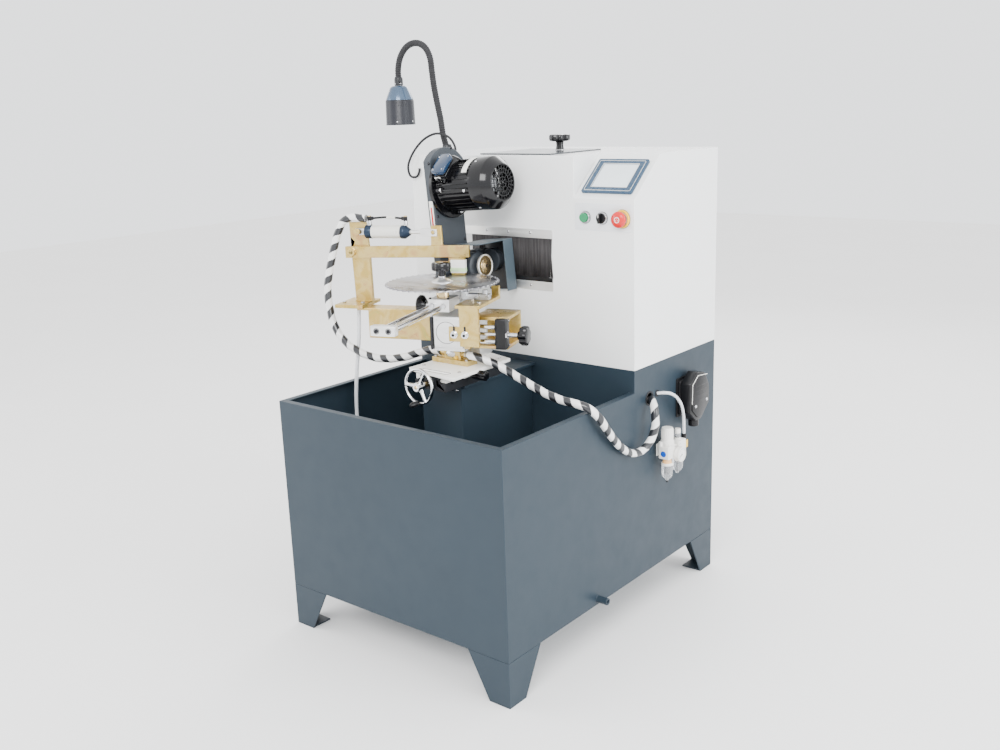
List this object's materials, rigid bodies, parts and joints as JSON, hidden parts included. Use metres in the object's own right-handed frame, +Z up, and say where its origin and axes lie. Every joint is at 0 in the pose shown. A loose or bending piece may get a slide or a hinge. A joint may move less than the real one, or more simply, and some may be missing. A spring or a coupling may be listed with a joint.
{
  "type": "wet grinding sharpener",
  "caption": "Free-standing wet grinder that face-grinds circular saw blade teeth over an open coolant tank, with motor head, clamp arm and control cabinet.",
  "frame": {"origin": "middle of the footprint on the floor, free hoses and leads left out", "axes": "+Z up, the operator stands on the -Y side, +X to the operator's right"},
  "size_m": [0.883, 1.0254, 1.4963],
  "materials": {
    "tank_paint": "satin",
    "cabinet_paint": "gloss",
    "dark_paint": "satin",
    "motor_paint": "gloss",
    "zinc_plate": "yellow zinc plated",
    "alloy": "milled",
    "chrome": "polished",
    "steel": "ground",
    "brass": "turned",
    "black_plastic": "moulded",
    "black_metal": "satin",
    "rubber": "matt",
    "red_plastic": "moulded",
    "green_plastic": "moulded",
    "yellow_plastic": "moulded",
    "screen_frame": "moulded",
    "clear_tube": "translucent",
    "banded_hose": "spiral wrapped",
    "white_plastic": "moulded"
  },
  "bodies": {
    "frame": {"coolant_tank": "tank_paint", "leg_front_left": "tank_paint", "leg_front_right": "tank_paint", "leg_rear_left": "tank_paint", "leg_rear_right": "tank_paint", "cabinet_shell": "cabinet_paint", "hmi_panel": "screen_frame", "start_bezel": "chrome", "selector_bezel": "chrome", "stop_bezel": "yellow_plastic", "brush_strip_top": "alloy", "brush_strip_bottom": "alloy", "brush_curtain": "rubber", "power_connector": "black_plastic", "air_unit": "white_plastic", "lamp_arm": "black_metal", "head_rails": "steel", "pedestal": "tank_paint", "slide_base": "black_metal", "air_tube": "clear_tube", "lamp_lead": "rubber", "hose_to_wall": "banded_hose"},
    "door": {"rear_door": "cabinet_paint"},
    "hatch": {"hatch_plate": "dark_paint"},
    "hatch_handle": {"hatch_knob": "black_plastic"},
    "start": {"start_button": "green_plastic"},
    "selector": {"selector_knob": "black_plastic"},
    "stop": {"stop_button": "red_plastic"},
    "air_adjuster": {"air_knob": "white_plastic"},
    "shade": {"lamp_shade": "black_metal"},
    "traverse": {"head_slide": "steel"},
    "head": {"belt_guard": "dark_paint", "motor_body": "motor_paint", "fan_cover": "motor_paint", "drive_belt": "rubber", "spindle_housing": "dark_paint", "wheel_hood": "tank_paint"},
    "rotor": {"motor_rotor": "steel"},
    "spindle": {"grinding_spindle": "steel", "grinding_wheel": "brass"},
    "table": {"table_plate": "white_plastic", "valve_block": "zinc_plate"},
    "handwheel": {"handwheel": "chrome"},
    "table_lock": {"slide_lock": "black_plastic"},
    "carriage": {"carriage_block": "alloy", "arbor_rail": "chrome", "clamp_frame": "zinc_plate", "feed_bracket": "zinc_plate", "feed_unit": "zinc_plate", "drain_tube": "clear_tube", "hose_to_clamp": "banded_hose"},
    "arbor": {"arbor_block": "alloy"},
    "arbor_lock": {"arbor_knob": "black_plastic"},
    "blade": {"saw_blade": "steel"},
    "blade_nut": {"blade_knob": "black_plastic"},
    "lever": {"clamp_lever": "zinc_plate"},
    "cylinder": {"clamp_cylinder": "white_plastic"},
    "piston": {"cylinder_rod": "steel"},
    "stroke_adjuster": {"stroke_knob": "black_plastic"},
    "pawl": {"feed_pawl": "steel"}
  },
  "joints": [
    {"name": "door_hinge", "type": "hinge", "parent": "frame", "child": "door", "pos_m": [-0.3185, 0.49693, 0.935], "axis": [0, 0, 1], "range_deg": [0, 110]},
    {"name": "hatch_lift", "type": "slide", "parent": "frame", "child": "hatch", "axis": [0, 0, 1], "range_m": [0, 0.05]},
    {"name": "hatch_handle_turn", "type": "hinge", "parent": "hatch", "child": "hatch_handle", "pos_m": [0.0295, 0.26943, 1.21], "axis": [0, 0, 1], "range_deg": [0, 180]},
    {"name": "start_press", "type": "slide", "parent": "frame", "child": "start", "axis": [0, 1, 0], "range_m": [0, 0.004], "stiffness_N_per_m": 300},
    {"name": "selector_turn", "type": "hinge", "parent": "frame", "child": "selector", "pos_m": [0.2925, 0.07543, 1.044], "axis": [0, 1, 0], "range_deg": [-45, 45]},
    {"name": "stop_press", "type": "slide", "parent": "frame", "child": "stop", "axis": [0, 1, 0], "range_m": [0, 0.005], "stiffness_N_per_m": 400},
    {"name": "air_adjuster_turn", "type": "hinge", "parent": "frame", "child": "air_adjuster", "pos_m": [0.4115, 0.18843, 0.47], "axis": [0, 0, 1], "range_deg": [-180, 180]},
    {"name": "shade_swivel", "type": "hinge", "parent": "frame", "child": "shade", "pos_m": [-0.4005, 0.10843, 1.378], "axis": [0, 0, 1], "range_deg": [-90, 90]},
    {"name": "head_traverse", "type": "slide", "parent": "frame", "child": "traverse", "axis": [1, 0, 0], "range_m": [-0.03, 0]},
    {"name": "head_tilt", "type": "hinge", "parent": "traverse", "child": "head", "pos_m": [-0.0365, 0.01843, 0.925], "axis": [0, 1, 0], "range_deg": [-7, 15]},
    {"name": "motor_turn", "type": "hinge", "parent": "head", "child": "rotor", "pos_m": [-0.05384, -0.02357, 1.12324], "axis": [0.9962, 0, 0.0872], "continuous": true},
    {"name": "wheel_turn", "type": "hinge", "parent": "head", "child": "spindle", "pos_m": [-0.03589, -0.02357, 0.91803], "axis": [0.9962, 0, 0.0872], "continuous": true},
    {"name": "handwheel_turn", "type": "hinge", "parent": "frame", "child": "handwheel", "pos_m": [0.0255, -0.31957, 0.672], "axis": [0, 1, 0], "range_deg": [-1441, 1]},
    {"name": "table_feed", "type": "slide", "parent": "frame", "child": "table", "axis": [0, 1, 0], "range_m": [-0.02, 0], "deforming": ["hose_to_wall"]},
    {"name": "table_lock_turn", "type": "hinge", "parent": "table", "child": "table_lock", "pos_m": [0.0935, -0.19657, 0.685], "axis": [1, 0, 0], "range_deg": [0, 90]},
    {"name": "carriage_swivel", "type": "hinge", "parent": "table", "child": "carriage", "pos_m": [-0.00145, -0.05556, 0.7], "axis": [0, 0, 1], "range_deg": [-2, 15], "deforming": ["hose_to_clamp", "drain_tube"]},
    {"name": "arbor_travel", "type": "slide", "parent": "carriage", "child": "arbor", "axis": [-0.3256, 0.9455, 0], "range_m": [-0.2, 0]},
    {"name": "arbor_lock_turn", "type": "hinge", "parent": "arbor", "child": "arbor_lock", "pos_m": [-0.02722, -0.22307, 0.85], "axis": [-0.9455, -0.3256, 0], "range_deg": [0, 90]},
    {"name": "blade_turn", "type": "hinge", "parent": "arbor", "child": "blade", "pos_m": [0.0035, -0.19557, 0.905], "axis": [0, 0, 1], "continuous": true},
    {"name": "blade_nut_turn", "type": "hinge", "parent": "blade", "child": "blade_nut", "pos_m": [0.0035, -0.19557, 0.93], "axis": [0, 0, 1], "range_deg": [0, 360]},
    {"name": "clamp_lift", "type": "hinge", "parent": "carriage", "child": "lever", "pos_m": [-0.31106, -0.18966, 0.958], "axis": [0.3256, -0.9455, 0], "range_deg": [0, 10]},
    {"name": "cylinder_swing", "type": "hinge", "parent": "carriage", "child": "cylinder", "pos_m": [-0.29121, -0.18283, 1.012], "axis": [0.3256, -0.9455, 0], "range_deg": [-0.2, 11.5]},
    {"name": "cylinder_stroke", "type": "slide", "parent": "cylinder", "child": "piston", "axis": [0.9455, 0.3256, 0], "range_m": [-0.0095, 0.0002]},
    {"name": "stroke_adjuster_turn", "type": "hinge", "parent": "carriage", "child": "stroke_adjuster", "pos_m": [0.19226, -0.16019, 0.786], "axis": [0.9455, 0.3256, 0], "range_deg": [0, 180]},
    {"name": "pawl_stroke", "type": "slide", "parent": "carriage", "child": "pawl", "axis": [0.9455, 0.3256, 0], "range_m": [-0.008, 0.008]}
  ],
  "couplings": [
    {"joint": "wheel_turn", "follows": "motor_turn", "ratio": 1.8182},
    {"joint": "handwheel_turn", "follows": "table_feed", "rad_per_m": 1256.6},
    {"joint": "cylinder_swing", "follows": "clamp_lift", "ratio": 1.1267},
    {"joint": "cylinder_stroke", "follows": "clamp_lift", "m_per_rad": -0.05149}
  ]
}
